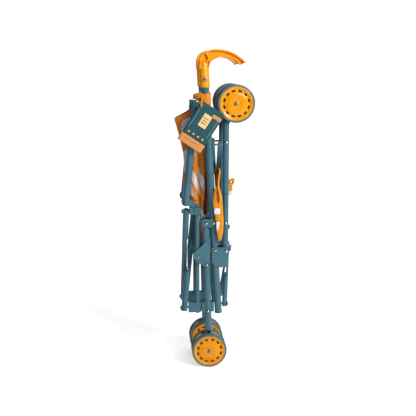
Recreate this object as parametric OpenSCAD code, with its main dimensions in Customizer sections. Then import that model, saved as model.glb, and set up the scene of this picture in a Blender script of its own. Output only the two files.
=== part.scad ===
// Folded umbrella doll stroller.
// X points to the rear (the side the doll's back is on), Y to the stroller's right, Z up.
// The origin is on the floor, under the middle of the folded stroller.
// It is drawn folded and upright: the rear legs are swung up beside the handles.

/* [Frame] */
// Diameter of the handle tubes and front legs
tube_d = 14; // [13:0.5:14]
// Wall of the steel tubes
tube_wall = 1; // [0.8:0.1:1.5]
// Diameter of the rear legs
rear_d = 12; // [11:0.5:12]
// Diameter of the seat tubes
seat_d = 13; // [12:0.5:13]
// Diameter of the front cross bars
cross_d = 12; // [11:0.5:12]
// Diameter of the rear cross bars
rear_cross_d = 10; // [9:0.5:10]
// Distance from the middle plane to each side frame when folded
leg_y = 31; // [31:0.5:33]
// Length of the folded seat tubes
seat_len = 188; // [170:1:189]

/* [Wheels] */
// Diameter of each wheel
wheel_d = 70; // [60:1:70]
// Width of each wheel
wheel_w = 10; // [9:0.5:11]
// Distance from the leg to the middle of each wheel
wheel_offset = 11; // [11:0.5:12]
// Diameter of the wheel axles
axle_d = 4; // [3:0.5:4]
// Number of slots in a wheel's face
wheel_slots = 12; // [6:1:14]

/* [Handles] */
// Diameter of the handle's shank
shank_d = 17.5; // [17:0.5:19]
// Width of the handle's flanges
hook_w = 14; // [10:1:16]
// Thickness of the handle's flanges and web
hook_wall = 2.6; // [2:0.2:3.2]

/* [Hidden] */
$fn = 48;

// Everything is drawn from the front axle's place and moved back by this much,
// so that the origin is under the middle of the folded stroller.
centre_x = 6.5;
// Running clearance on the radius of a rod or pin
run = 0.05;
frame_blue = [0.27, 0.47, 0.53];
handle_orange = [1, 0.64, 0];
cloth_orange = [0.96, 0.55, 0.12];
steel = [0.8, 0.8, 0.82];

// Key points of a side frame, as [x, z]
front_axle = [-3, 35];
leg_top = [-9.4, 304];
tube_foot = [16.2, 114];
tube_top = [-11.8, 590];
hinge_pt = [29.5, 241];
rear_axle = [47, 527];
rear_bend_z = 490;
seat_pivot = [-47.2, 341];
rod_x = -25.5;
rod_d = 8;
rod_z = [113, 334];
foot_z = 125;

// Heights and diameters of the rivets
handle_rivet_z = 571;
clip_rivet_z = 298;
hinge_rivet_z = 243;
rod_rivet_z = 231;
leg_rivet_z = 214;
block_rivet_z = 117;
rivet_d = 4;
rivet_head_d = 7;
pin_head_d = 8;
rivet_hole_d = rivet_d + 2 * run;
hinge_pin_d = 5;

// The thin plates lie against both sides of the tubes
plate_t = 1.6;
plate_y = tube_d / 2 + 1.1;
plate_out = tube_d / 2 + 1.9;
handle_out = shank_d / 2 + 0.6;

// Inner face of the foot block, from the leg's axis
block_y = 9.5;

// The front cross bars: bar A runs behind bar B, and its top is nearer the middle plane
cross_pin_z = [foot_z, 322];
cross_a_x = [-52, -27.6];
cross_a_top_y = leg_y - 18;
cross_b_x = [-50, -47.2];
// How far bar B reaches past its upper pin: it rises towards the slider's ear in mid-travel
cross_b_reach = 4;
cross_wall = 1.2;
cross_pin_drop = 2.8;
cross_pin_rise = [6, 10.4];

// The pins of the rear cross bars
rear_cross_foot = [28.8, 130];
rear_cross_top = [43, 285];
rear_cross_stop = 0.75;
// Direction of the pin at a rear cross bar's foot, at right angles to the bar
rear_pin_dir = [0.927051, -0.369618, 0.062918];

// The lock bar between the rear legs: each link reaches half the open width
lock_z = 450;
lock_len = 64.36;
lock_drop = sqrt(lock_len * lock_len - leg_y * leg_y);
link_w = 12;
link_t = 7;
link_x = [18.2, 10.7];

// The slider on the guide rod
slider_z = [316, 330];
slider_x = [-31, -18.8];
// The ear on the right slider that guides the top of bar A
ear_x = [-20, -17.4];

function tube_x(z) = tube_foot[0] + (z - tube_foot[1])
    * (tube_top[0] - tube_foot[0]) / (tube_top[1] - tube_foot[1]);
function leg_x(z) = front_axle[0] + (z - front_axle[1])
    * (leg_top[0] - front_axle[0]) / (leg_top[1] - front_axle[1]);

// A bar or bore from point p to point q
module bar(p, q, d) {
    v = q - p;
    translate(p)
        rotate([0, acos(v[2] / norm(v)), atan2(v[1], v[0])])
            cylinder(h = norm(v), d = d);
}

// A round bar along X, Y
module pin_x(x0, x1, y, z, d) {
    translate([x0, y, z])
        rotate([0, 90, 0])
            cylinder(h = x1 - x0, d = d);
}
module pin_y(x, y0, y1, z, d) {
    translate([x, y0, z])
        rotate([-90, 0, 0])
            cylinder(h = y1 - y0, d = d);
}

// A box from corner a to corner b
module block(a, b) {
    translate(a)
        cube(b - a);
}

// Children drawn for the left side (Y = -leg_y), for side -1 left or +1 right
module on_side(side) {
    translate([-centre_x, 0, 0])
        if (side < 0)
            children();
        else
            mirror([0, 1, 0])
                children();
}

// A domed rivet head on a face at y, pointing to -Y or +Y
module rivet_head(x, y, z, d, up) {
    translate([x, y, z])
        rotate([up < 0 ? 90 : -90, 0, 0]) {
            cylinder(h = 0.8, d = d);
            translate([0, 0, 0.8])
                intersection() {
                    translate([0, 0, -d / 2 + 1.4])
                        sphere(d = d * 1.16);
                    cylinder(h = 2.5, d = d);
                }
        }
}

// A bar or bore along the pin that holds a rear cross bar's foot, for the left side
module rear_cross_pin(from, to, d) {
    foot = [rear_cross_foot[0], -leg_y, rear_cross_foot[1]];
    bar(foot + from * rear_pin_dir, foot + to * rear_pin_dir, d);
}

// ---------- side frame ----------
module handle_tube(side) {
    color(frame_blue)
        on_side(side)
            difference() {
                bar([tube_foot[0], -leg_y, tube_foot[1]], [tube_top[0], -leg_y, tube_top[1]], tube_d);
                bar([tube_x(80), -leg_y, 80], [tube_x(620), -leg_y, 620], tube_d - 2 * tube_wall);
                pin_y(tube_x(handle_rivet_z), -leg_y - 9, -leg_y + 9, handle_rivet_z, rivet_hole_d);
                pin_y(tube_x(clip_rivet_z), -leg_y - 9, -leg_y + 9, clip_rivet_z, rivet_hole_d);
                pin_y(tube_x(hinge_rivet_z), -leg_y - 9, -leg_y + 9, hinge_rivet_z, rivet_hole_d);
                rear_cross_pin(-14, 4, rivet_hole_d);
            }
}

module front_leg(side) {
    color(frame_blue)
        on_side(side)
            difference() {
                bar([leg_x(28), -leg_y, 28], [leg_top[0], -leg_y, leg_top[1]], tube_d);
                bar([leg_x(80), -leg_y, 60], [leg_x(340), -leg_y, 340], tube_d - 2 * tube_wall);
                // The foot is squeezed flat between the two wheels
                for (s = [-1, 1])
                    translate([0, -leg_y + s * 7.5, 48])
                        cube([40, 6, 56], center = true);
                pin_y(front_axle[0], -leg_y - 9, -leg_y + 9, front_axle[1], axle_d + 2 * run);
                pin_y(leg_x(clip_rivet_z), -leg_y - 9, -leg_y + 9, clip_rivet_z, rivet_hole_d);
                pin_y(leg_x(leg_rivet_z), -leg_y - 9, -leg_y + 9, leg_rivet_z, rivet_hole_d);
                pin_y(leg_x(block_rivet_z), -leg_y - 9, -leg_y + 9, block_rivet_z, rivet_hole_d);
            }
}

module guide_rod(side) {
    color(frame_blue)
        on_side(side)
            difference() {
                bar([rod_x, -leg_y, rod_z[0]], [rod_x, -leg_y, rod_z[1]], rod_d);
                pin_y(rod_x, -leg_y - 9, -leg_y + 9, rod_rivet_z, rivet_hole_d);
            }
}

// Two strips that join the top of the front leg to the handle tube
module top_clip(side) {
    z0 = 290;
    z1 = 307;
    color(frame_blue)
        on_side(side)
            difference() {
                for (s = [-1, 1])
                    translate([0, -leg_y + s * plate_y, 0])
                        rotate([90, 0, 0])
                            linear_extrude(plate_t, center = true)
                                polygon([[-14, z0], [12, z0 + 1], [13.6, z0 + 4], [12.5, z1 - 3],
                                    [9, z1], [-13, z1 + 0.5], [-16.8, z1 - 4], [-16.8, z0 + 4]]);
                for (x = [leg_x(clip_rivet_z), tube_x(clip_rivet_z)])
                    pin_y(x, -leg_y - 12, -leg_y + 12, clip_rivet_z, rivet_hole_d);
            }
}

// The pair of plates that hold the guide rod to the front leg
module seat_plates(side) {
    color(frame_blue)
        on_side(side)
            difference() {
                for (s = [-1, 1])
                    translate([0, -leg_y + s * plate_y, 0])
                        rotate([90, 0, 0])
                            linear_extrude(plate_t, center = true)
                                polygon([[-17, 255], [-1, 271], [-1, 216], [-3, 212], [-9, 210.5],
                                    [-21, 217], [-33, 228], [-34, 232], [-34, 240]]);
                pin_y(rod_x, -leg_y - 12, -leg_y + 12, rod_rivet_z, rivet_hole_d);
                pin_y(leg_x(leg_rivet_z), -leg_y - 12, -leg_y + 12, leg_rivet_z, rivet_hole_d);
            }
}

// The pair of plates that the rear leg swings in
module hinge_plates(side) {
    color(frame_blue)
        on_side(side)
            difference() {
                for (s = [-1, 1])
                    translate([0, -leg_y + s * plate_y, 0])
                        rotate([90, 0, 0])
                            linear_extrude(plate_t, center = true)
                                polygon([[2, 250], [35, 250], [35, 214], [31.5, 209], [13, 209],
                                    [8, 211], [2, 221]]);
                pin_y(tube_x(hinge_rivet_z), -leg_y - 12, -leg_y + 12, hinge_rivet_z, rivet_hole_d);
                pin_y(hinge_pt[0], -leg_y - 12, -leg_y + 12, hinge_pt[1], hinge_pin_d + 2 * run);
            }
}

// The block that ties the guide rod to the front leg and holds the pin of a front cross bar
module foot_block(side) {
    // Behind the head of the pin that holds a front cross bar's foot
    head_x = (side < 0 ? cross_a_x[0] : cross_b_x[0]) - cross_d / 2 - 0.5;
    color(frame_blue)
        on_side(side)
            difference() {
                union() {
                    block([-43.5, -leg_y - 4, 115], [7.2, -leg_y + block_y, 135]);
                    pin_x(head_x - 1, -43, -leg_y, foot_z, rivet_d);
                    pin_x(head_x - 1.8, head_x, -leg_y, foot_z, pin_head_d);
                }
                bar([leg_x(100), -leg_y, 100], [leg_x(150), -leg_y, 150], tube_d + 2 * run);
                bar([rod_x, -leg_y, 100], [rod_x, -leg_y, 150], rod_d + 2 * run);
                pin_y(leg_x(block_rivet_z), -leg_y - 12, -leg_y + 12, block_rivet_z, rivet_hole_d);
                // A groove down the outer face, between the rod and the leg
                block([-19, -leg_y - 5, 114], [-17.2, -leg_y + 2, 136]);
            }
}

// ---------- handle ----------
// The side outline of the hook, drawn in by "inset"
module hook_outline(inset) {
    corner = [0.5, 602];
    corner_r = 21.5 - inset;
    back = [12, 554];
    back_r = 71 - inset;
    throat = [24.5, 573];
    throat_r = 38.5 + inset;
    polygon(concat(
        [[corner[0] - corner_r, 590 + inset]],
        [for (a = [180 : -12 : 108]) corner + corner_r * [cos(a), sin(a)]],
        [for (a = [98 : -5 : 43]) back + back_r * [cos(a), sin(a)]],
        [for (a = [39 + inset : 8 : 130]) throat + throat_r * [cos(a), sin(a)]],
        [[tube_x(600) + shank_d / 2 - inset, 590 + inset]]));
}

module handle(side) {
    color(handle_orange)
        on_side(side)
            difference() {
                union() {
                    bar([tube_x(557), -leg_y, 557], [tube_x(603), -leg_y, 603], shank_d);
                    pin_y(tube_x(handle_rivet_z), -leg_y - handle_out, -leg_y + handle_out,
                        handle_rivet_z, 11);
                    translate([0, -leg_y, 0])
                        rotate([90, 0, 0]) {
                            linear_extrude(4, center = true)
                                hook_outline(0);
                            linear_extrude(hook_w, center = true)
                                difference() {
                                    hook_outline(0);
                                    hook_outline(hook_wall);
                                }
                        }
                    // The rib across the channel at the corner of the hook
                    translate([-2.5, -leg_y, 609])
                        rotate([0, -28, 0])
                            cube([2.2, hook_w, 22], center = true);
                }
                bar([tube_x(540), -leg_y, 540], [tube_x(592), -leg_y, 592], tube_d + 2 * run);
                pin_y(tube_x(handle_rivet_z), -leg_y - 12, -leg_y + 12, handle_rivet_z, rivet_hole_d);
                // Nothing of the rib is left outside the hook
                block([-40, -leg_y - 10, 626], [40, -leg_y + 10, 640]);
            }
}

// The plug and rim that close the foot of a handle tube
module end_caps(side) {
    color(frame_blue)
        on_side(side) {
            bar([tube_x(tube_foot[1] - 2), -leg_y, tube_foot[1] - 2],
                [tube_x(tube_foot[1]), -leg_y, tube_foot[1]], tube_d + 0.8);
            bar([tube_x(tube_foot[1]), -leg_y, tube_foot[1]],
                [tube_x(tube_foot[1] + 6), -leg_y, tube_foot[1] + 6], tube_d - 2 * tube_wall - 2 * run);
        }
}

// A rivet along Y with a head on each side, through a stack that reaches from y0 to y1
module rivet(x, z, y0, y1, d, head_d) {
    pin_y(x, y0, y1, z, d);
    rivet_head(x, y0, z, head_d, -1);
    rivet_head(x, y1, z, head_d, 1);
}

// A wheel axle with a flat and a domed end outside each wheel
module axle(at) {
    reach = wheel_offset + wheel_w / 2;
    pin_y(at[0], -leg_y - reach - 1.2, -leg_y + reach + 1.2, at[1], axle_d);
    for (s = [-1, 1])
        rivet_head(at[0], -leg_y + s * (reach + 0.2), at[1], 6.5, s);
}

// All rivets that stay with the side frame
module frame_rivets(side) {
    plate_rivets = [[leg_x(clip_rivet_z), clip_rivet_z], [tube_x(clip_rivet_z), clip_rivet_z],
        [tube_x(hinge_rivet_z), hinge_rivet_z], [leg_x(leg_rivet_z), leg_rivet_z],
        [rod_x, rod_rivet_z]];
    color(steel)
        on_side(side) {
            for (p = plate_rivets)
                rivet(p[0], p[1], -leg_y - plate_out, -leg_y + plate_out, rivet_d, rivet_head_d);
            rivet(hinge_pt[0], hinge_pt[1], -leg_y - plate_out, -leg_y + plate_out,
                hinge_pin_d, rivet_head_d + 1);
            rivet(tube_x(handle_rivet_z), handle_rivet_z, -leg_y - handle_out, -leg_y + handle_out,
                rivet_d, rivet_head_d);
            rivet(leg_x(block_rivet_z), block_rivet_z, -leg_y - tube_d / 2, -leg_y + block_y,
                rivet_d, rivet_head_d);
            // The pin that holds the rear cross bar behind the handle tube
            rear_cross_pin(-10, rear_cross_d / 2 + 1, rivet_d);
            rear_cross_pin(rear_cross_d / 2 + 0.6, rear_cross_d / 2 + 2, pin_head_d);
            axle(front_axle);
        }
}

// ---------- seat ----------
// The slider that carries the seat tube up and down the guide rod
module slider(side) {
    z0 = slider_z[0];
    z1 = slider_z[1];
    slot_z = cross_pin_z[1];
    color(frame_blue)
        on_side(side)
            difference() {
                union() {
                    block([slider_x[0], -leg_y - 7.5, z0], [slider_x[1], -leg_y + 7.5, z1]);
                    if (side < 0) {
                        // The arm that guides the top of bar B
                        block([-40.7, -leg_y - 6.2, z0], [-30, -leg_y + 6.2, z1]);
                    } else {
                        // The inner ear that guides the top of bar A
                        block([slider_x[0], -leg_y + 7, z0], [ear_x[1], -leg_y + 9.4, z1]);
                        block([ear_x[0], -leg_y + 9, z0], [ear_x[1], -leg_y + 25, z1 + 6]);
                    }
                    // The ear that carries the seat tube
                    translate([0, -leg_y, 0])
                        rotate([90, 0, 0])
                            linear_extrude(4.6, center = true)
                                union() {
                                    polygon([[-21, 329], [-21, 336], [-43.3, 347], [-47.8, 334], [-31, 329]]);
                                    translate(seat_pivot)
                                        circle(d = 18);
                                }
                }
                bar([rod_x, -leg_y, z0 - 7], [rod_x, -leg_y, z1 + 14], rod_d + 2 * run);
                pin_y(seat_pivot[0], -leg_y - 9, -leg_y + 9, seat_pivot[1], rivet_hole_d);
                if (side < 0)
                    block([-45, -leg_y - 4.2, slot_z - cross_pin_drop],
                        [-32.5, -leg_y + 4.2, slot_z + cross_pin_rise[0]]);
                else
                    block([-23, -cross_a_top_y - 3.9, slot_z - cross_pin_drop],
                        [-15, -cross_a_top_y + 3.9, slot_z + cross_pin_rise[1]]);
            }
}

// The seat tube leans back a little, like the leg beside it
seat_lean = atan(20 / 197);
seat_dir = [sin(seat_lean), 0, cos(seat_lean)];

// The seat tube has a fork at its foot that holds the slider's ear
module seat_tube(side) {
    p = [seat_pivot[0], -leg_y, seat_pivot[1]];
    color(frame_blue)
        on_side(side)
            difference() {
                union() {
                    bar(p - 7 * seat_dir, p + seat_len * seat_dir, seat_d);
                    bar(p + (seat_len - 1) * seat_dir, p + (seat_len + 2.5) * seat_dir, seat_d + 1);
                    pin_y(p[0], -leg_y - seat_d / 2 - 1.2, -leg_y + seat_d / 2 + 1.2, p[2], 4);
                }
                difference() {
                    bar(p - 20 * seat_dir, p + (seat_len - 3) * seat_dir, seat_d - 2 * tube_wall);
                    pin_y(p[0], -leg_y - 9, -leg_y + 9, p[2], 4);
                }
                difference() {
                    translate(p)
                        rotate([0, seat_lean, 0])
                            translate([-10, -2.7, -20])
                                cube([20, 5.4, 31]);
                    pin_y(p[0], -leg_y - 9, -leg_y + 9, p[2], 4);
                }
            }
}

// The cross bar whose foot is on the left frame and whose top is at the right slider
module front_cross_bar_a() {
    foot = [cross_a_x[0], -leg_y, cross_pin_z[0]];
    top = [cross_a_x[1], cross_a_top_y, cross_pin_z[1]];
    dir = (top - foot) / norm(top - foot);
    color(frame_blue)
        translate([-centre_x, 0, 0]) {
            difference() {
                bar(foot - 7 * dir, top + 6 * dir, cross_d);
                difference() {
                    bar(foot + 140 * dir, top + 20 * dir, cross_d - 2 * cross_wall);
                    pin_x(top[0] - 8, top[0] + 8, top[1], top[2], rivet_d);
                }
                pin_x(-70, -40, foot[1], foot[2], rivet_hole_d);
                // A flat in front, where bar B passes
                block([-70, -40, 196], [-43.7, 40, 262]);
            }
            pin_x(top[0] + 4, -15.4, top[1], top[2], rivet_d);
            pin_x(-16.8, -15.2, top[1], top[2], rivet_head_d);
        }
}

// The cross bar whose foot is on the right frame and whose top is on the left slider
module front_cross_bar_b() {
    foot = [cross_b_x[0], leg_y, cross_pin_z[0]];
    top = [cross_b_x[1], -leg_y, cross_pin_z[1]];
    dir = (top - foot) / norm(top - foot);
    color(frame_blue)
        translate([-centre_x, 0, 0])
            difference() {
                union() {
                    bar(foot - 7 * dir, top + cross_b_reach * dir, cross_d);
                    pin_x(top[0] - 8, -33, top[1], top[2], rivet_d);
                    pin_x(top[0] - 9, top[0] - 5, top[1], top[2], pin_head_d);
                }
                difference() {
                    bar(foot + 140 * dir, top + 20 * dir, cross_d - 2 * cross_wall);
                    pin_x(top[0] - 8, -33, top[1], top[2], rivet_d);
                }
                pin_x(-70, -40, foot[1], foot[2], rivet_hole_d);
                // A flat behind, where bar A passes
                block([-44.5, -40, 196], [-30, 40, 262]);
            }
}

// ---------- rear legs ----------
module rear_leg(side) {
    bend = [hinge_pt[0], -leg_y, rear_bend_z];
    axle = [rear_axle[0], -leg_y, rear_axle[1]];
    dir = (axle - bend) / norm(axle - bend);
    inner = rear_d - 2 * tube_wall;
    color(frame_blue)
        on_side(side) {
            difference() {
                union() {
                    bar([hinge_pt[0], -leg_y, hinge_pt[1] - 9], bend, rear_d);
                    bar(bend, axle + 6 * dir, rear_d);
                    translate(bend)
                        sphere(d = rear_d);
                }
                bar([hinge_pt[0], -leg_y, hinge_pt[1] - 20], bend, inner);
                for (s = [-1, 1])
                    translate([0, -leg_y + s * 7.5, rear_axle[1]])
                        cube([140, 6, 56], center = true);
                pin_y(hinge_pt[0], -leg_y - 9, -leg_y + 9, hinge_pt[1], hinge_pin_d + 2 * run);
                pin_y(rear_axle[0], -leg_y - 9, -leg_y + 9, rear_axle[1], axle_d + 2 * run);
                // Seats for the rivets and pins on the leg
                pin_x(0, hinge_pt[0] - rear_d / 2 + 0.7, -leg_y, lock_z, rivet_hole_d);
                pin_x(hinge_pt[0] + rear_d / 2 - 0.7, 50, -leg_y, rear_cross_top[1] + 4,
                    pin_head_d + 2 * run);
                for (z = [lock_z + 4, rear_cross_top[1] + 12])
                    pin_y(hinge_pt[0], -leg_y - 9, -leg_y - rear_d / 2 + 0.7, z, rivet_head_d + 2 * run);
            }
            // The lug towards which the rear cross bar reaches
            pin_y(rear_cross_top[0] - 9, -leg_y + 4, -leg_y + 8, rear_cross_top[1], 7);
        }
}

module rear_rivets(side) {
    front_x = hinge_pt[0] - rear_d / 2 + 0.6;
    link_face = link_x[1] - link_t / 2;
    color(steel)
        on_side(side) {
            axle(rear_axle);
            // Pins of the lock bar and of the rear cross bar
            pin_x(link_face - 2.4, front_x, -leg_y, lock_z, rivet_d);
            pin_x(link_face - 2.6, link_face - 0.6, -leg_y, lock_z, pin_head_d);
            pin_x(hinge_pt[0] + rear_d / 2 - 0.6, hinge_pt[0] + rear_d / 2 + 3, -leg_y,
                rear_cross_top[1] + 4, pin_head_d);
            for (z = [lock_z + 4, rear_cross_top[1] + 12])
                rivet_head(hinge_pt[0], -leg_y - rear_d / 2 + 0.6, z, rivet_head_d, -1);
        }
}

// One link of the folding lock bar; layer 0 is the left one
module lock_link(layer) {
    x = link_x[layer];
    tilt = atan2(lock_drop, leg_y);
    color(frame_blue)
        on_side(layer == 0 ? -1 : 1)
            translate([x, -leg_y, lock_z])
                rotate([-tilt, 0, 0])
                    difference() {
                        union() {
                            translate([-link_t / 2, 0, -link_w / 2])
                                cube([link_t, lock_len, link_w]);
                            for (y = [0, lock_len])
                                pin_x(-link_t / 2, link_t / 2, y, 0, link_w);
                            // The centre rivet, on the front link only
                            if (layer == 1)
                                pin_x(-link_t / 2 - 1.4, 0, lock_len, 0, 7);
                        }
                        pin_x(-5, 5, 0, 0, rivet_hole_d);
                    }
}

// One bar of the rear cross; the foot is on the given side
module rear_cross_bar(side) {
    foot = [rear_cross_foot[0], -leg_y, rear_cross_foot[1]];
    top = [rear_cross_top[0], leg_y, rear_cross_top[1]];
    dir = (top - foot) / norm(top - foot);
    mid = (foot + top) / 2;
    lean = atan2(top[0] - foot[0], top[2] - foot[2]);
    color(frame_blue)
        on_side(side)
            difference() {
                bar(foot - 6 * dir, foot + rear_cross_stop * (top - foot), rear_cross_d);
                rear_cross_pin(-8, 8, rivet_hole_d);
                translate(mid)
                    rotate([0, lean, 0])
                        translate([side < 0 ? 1.2 - 20 : -1.2, -30, -27])
                            cube([20, 60, 54]);
            }
}

// ---------- wheels ----------
module at_wheel(side, inner, axle) {
    y = inner ? wheel_offset : -wheel_offset;
    on_side(side)
        translate([axle[0], -leg_y + y, axle[1]])
            rotate([inner ? -90 : 90, 0, 0])
                children();
}

// The tyre ring; local +Z points away from the leg
module tyre(side, inner, axle) {
    r = wheel_d / 2;
    color(frame_blue)
        at_wheel(side, inner, axle)
            rotate_extrude()
                polygon([[r - 3.2, -wheel_w / 2], [r - 1, -wheel_w / 2], [r, -wheel_w / 2 + 1],
                    [r, wheel_w / 2 - 1], [r - 1, wheel_w / 2], [r - 3.2, wheel_w / 2]]);
}

// The dished disc with its ring of slots and its hub
module wheel_disc(side, inner, axle) {
    r = wheel_d / 2 - 3.2;
    h = wheel_w / 2;
    bore = axle_d / 2 + run;
    color(handle_orange)
        at_wheel(side, inner, axle)
            difference() {
                rotate_extrude()
                    polygon([[bore, -h], [6, -h], [6, -1], [r - 2.5, -1], [r - 2.5, -h], [r, -h],
                        [r, h - 0.6], [r - 2, h - 0.6], [r - 4, h - 1.6], [8, h - 0.4],
                        [6.5, h - 1], [bore, h - 1]]);
                for (i = [0 : wheel_slots - 1])
                    rotate([0, 0, (i + 0.5) * 360 / wheel_slots])
                        translate([0.76 * r, 0, 0])
                            cube([2.2, 7, 20], center = true);
            }
}

// ---------- soft parts ----------
module seat_fabric() {
    color(cloth_orange)
        translate([-centre_x, 0, 0])
            rotate([90, 0, 0])
                linear_extrude(44, center = true)
                    polygon([[-67, 500], [-62, 476], [-54, 445], [-51, 414], [-52, 350], [-47, 341],
                        [-41, 341], [-34, 437], [-27, 519], [-38, 517]]);
}

module back_fabric() {
    color(cloth_orange)
        translate([-centre_x, 0, 0])
            rotate([90, 0, 0]) {
                linear_extrude(42, center = true)
                    polygon([[-38.5, 352], [-34.5, 338.5], [-8.5, 338.5], [-8, 439], [-10, 528],
                        [-25, 528], [-33, 437]]);
                translate([0, 0, 1])
                    linear_extrude(19)
                        polygon([[-34.5, 339], [-26, 311], [-24, 285], [-22, 258], [-15, 258],
                            [-8.5, 339]]);
            }
}

module fabric_loop(side) {
    color(cloth_orange)
        on_side(side)
            difference() {
                union() {
                    bar([tube_x(522), -leg_y, 522], [tube_x(546), -leg_y, 546], tube_d + 5);
                    block([-28, -leg_y - 6, 533.5], [-14, -leg_y + 2, 543]);
                }
                bar([tube_x(500), -leg_y, 500], [tube_x(560), -leg_y, 560], tube_d + 0.6);
            }
}

// The lap straps: a bight outside the left tubes, and the part that goes in between them
module harness_straps() {
    color(cloth_orange)
        translate([-centre_x, 0, 0])
            rotate([90, 0, 0]) {
                translate([0, 0, leg_y + 9.5])
                    linear_extrude(5.5)
                        polygon([[15, 396], [20, 396], [23.5, 350], [24.5, 320], [24, 300], [22, 280],
                            [16.5, 262], [13.5, 268], [9.8, 290], [9.8, 304], [5, 322],
                            [4.5, 340], [8, 362], [15, 368]]);
                translate([0, 0, leg_y - 9])
                    linear_extrude(7)
                        polygon([[7.5, 404], [20, 408], [21.5, 330], [12.5, 330]]);
                // The fold over the edge, between the two
                translate([0, 0, leg_y - 3])
                    linear_extrude(13)
                        polygon([[15, 396], [20, 396], [21.5, 370], [15, 368]]);
            }
}

module storage_strap() {
    color(cloth_orange)
        translate([-centre_x, 0, 0]) {
            block([36.2, leg_y - 5, 352], [44, leg_y + 5, 392]);
            block([43, leg_y - 5, 364], [54, leg_y + 5, 388]);
        }
}

module harness_buckle() {
    color("white")
        translate([-centre_x, 0, 0])
            block([38, leg_y - 5, 343], [44, leg_y + 5, 351.6]);
}

// The card that hangs from the left loop
module hang_tag() {
    color([0.13, 0.35, 0.37])
        translate([-17 - centre_x, -leg_y - wheel_offset - wheel_w / 2 - 3.2, 534])
            rotate([0, 33.5, 0])
                translate([0, 0, -84])
                    cube([50, 1, 84]);
}

handle_tube(-1);  // left_handle_tube
handle_tube(1);  // right_handle_tube
front_leg(-1);  // left_front_leg
front_leg(1);  // right_front_leg
guide_rod(-1);  // left_guide_rod
guide_rod(1);  // right_guide_rod
top_clip(-1);  // left_top_clip
top_clip(1);  // right_top_clip
seat_plates(-1);  // left_seat_plates
seat_plates(1);  // right_seat_plates
hinge_plates(-1);  // left_hinge_plates
hinge_plates(1);  // right_hinge_plates
foot_block(-1);  // left_foot_block
foot_block(1);  // right_foot_block
handle(-1);  // left_handle
handle(1);  // right_handle
frame_rivets(-1);  // left_rivets
frame_rivets(1);  // right_rivets
slider(-1);  // left_slider
slider(1);  // right_slider
seat_tube(-1);  // left_seat_tube
seat_tube(1);  // right_seat_tube
rear_leg(-1);  // left_rear_leg
rear_leg(1);  // right_rear_leg
rear_rivets(-1);  // left_rear_rivets
rear_rivets(1);  // right_rear_rivets
front_cross_bar_a();
front_cross_bar_b();
rear_cross_bar(-1);  // rear_cross_bar_a
rear_cross_bar(1);  // rear_cross_bar_b
lock_link(0);  // left_lock_link
lock_link(1);  // right_lock_link
tyre(-1, false, front_axle);  // left_front_outer_tyre
tyre(-1, true, front_axle);  // left_front_inner_tyre
tyre(1, true, front_axle);  // right_front_inner_tyre
tyre(1, false, front_axle);  // right_front_outer_tyre
tyre(-1, false, rear_axle);  // left_rear_outer_tyre
tyre(-1, true, rear_axle);  // left_rear_inner_tyre
tyre(1, true, rear_axle);  // right_rear_inner_tyre
tyre(1, false, rear_axle);  // right_rear_outer_tyre
wheel_disc(-1, false, front_axle);  // left_front_outer_disc
wheel_disc(-1, true, front_axle);  // left_front_inner_disc
wheel_disc(1, true, front_axle);  // right_front_inner_disc
wheel_disc(1, false, front_axle);  // right_front_outer_disc
wheel_disc(-1, false, rear_axle);  // left_rear_outer_disc
wheel_disc(-1, true, rear_axle);  // left_rear_inner_disc
wheel_disc(1, true, rear_axle);  // right_rear_inner_disc
wheel_disc(1, false, rear_axle);  // right_rear_outer_disc
end_caps(-1);  // left_end_caps
end_caps(1);  // right_end_caps
seat_fabric();
back_fabric();
fabric_loop(-1);  // left_fabric_loop
fabric_loop(1);  // right_fabric_loop
harness_straps();
storage_strap();
harness_buckle();
hang_tag();
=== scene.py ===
"""Looks of the folded doll stroller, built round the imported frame.

Points in this file are written in millimetres from the front axle's place, as in the part's source,
and at() moves them into the row frame, in metres.
"""

import math

import bmesh
import bpy
from mathutils import Matrix, Vector, noise


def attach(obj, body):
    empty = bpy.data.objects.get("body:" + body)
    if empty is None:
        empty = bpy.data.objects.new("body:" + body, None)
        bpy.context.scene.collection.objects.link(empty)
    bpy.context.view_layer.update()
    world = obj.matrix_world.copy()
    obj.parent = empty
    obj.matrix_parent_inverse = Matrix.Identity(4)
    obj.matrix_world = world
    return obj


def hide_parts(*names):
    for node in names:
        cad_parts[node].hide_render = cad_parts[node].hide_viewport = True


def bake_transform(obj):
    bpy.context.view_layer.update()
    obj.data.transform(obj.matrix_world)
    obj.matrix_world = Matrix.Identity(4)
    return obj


MM = 0.001
CENTRE_X = 6.5      # the part's source moves everything back by this much
LEG_Y = 31.0        # from the middle plane to each side frame

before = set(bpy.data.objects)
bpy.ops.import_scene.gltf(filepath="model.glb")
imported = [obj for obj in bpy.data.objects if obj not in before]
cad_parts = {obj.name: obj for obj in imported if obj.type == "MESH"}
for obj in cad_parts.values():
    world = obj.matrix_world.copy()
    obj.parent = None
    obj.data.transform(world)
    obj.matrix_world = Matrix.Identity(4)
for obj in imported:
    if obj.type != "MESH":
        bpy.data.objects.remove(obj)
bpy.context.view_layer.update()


def at(x, y, z):
    """A point of the source's numbers, in the row frame."""
    return Vector(((x - CENTRE_X) * MM, y * MM, z * MM))


# ---------- camera ----------
LENS = 53.65
CAMERA_PLACE = (-0.1291, -1.1931, 0.5971)
CAMERA_DOWN = 13        # degrees below the level
CAMERA_TURN = -5.8      # degrees about the upright


def make_camera():
    data = bpy.data.cameras.new("camera")
    data.lens = LENS
    data.sensor_width = 36
    data.clip_start = 0.05
    data.clip_end = 60
    camera = bpy.data.objects.new("camera", data)
    bpy.context.scene.collection.objects.link(camera)
    camera.location = CAMERA_PLACE
    camera.rotation_euler = (math.radians(90 - CAMERA_DOWN), 0, math.radians(CAMERA_TURN))
    bpy.context.scene.camera = camera


make_camera()


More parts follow.
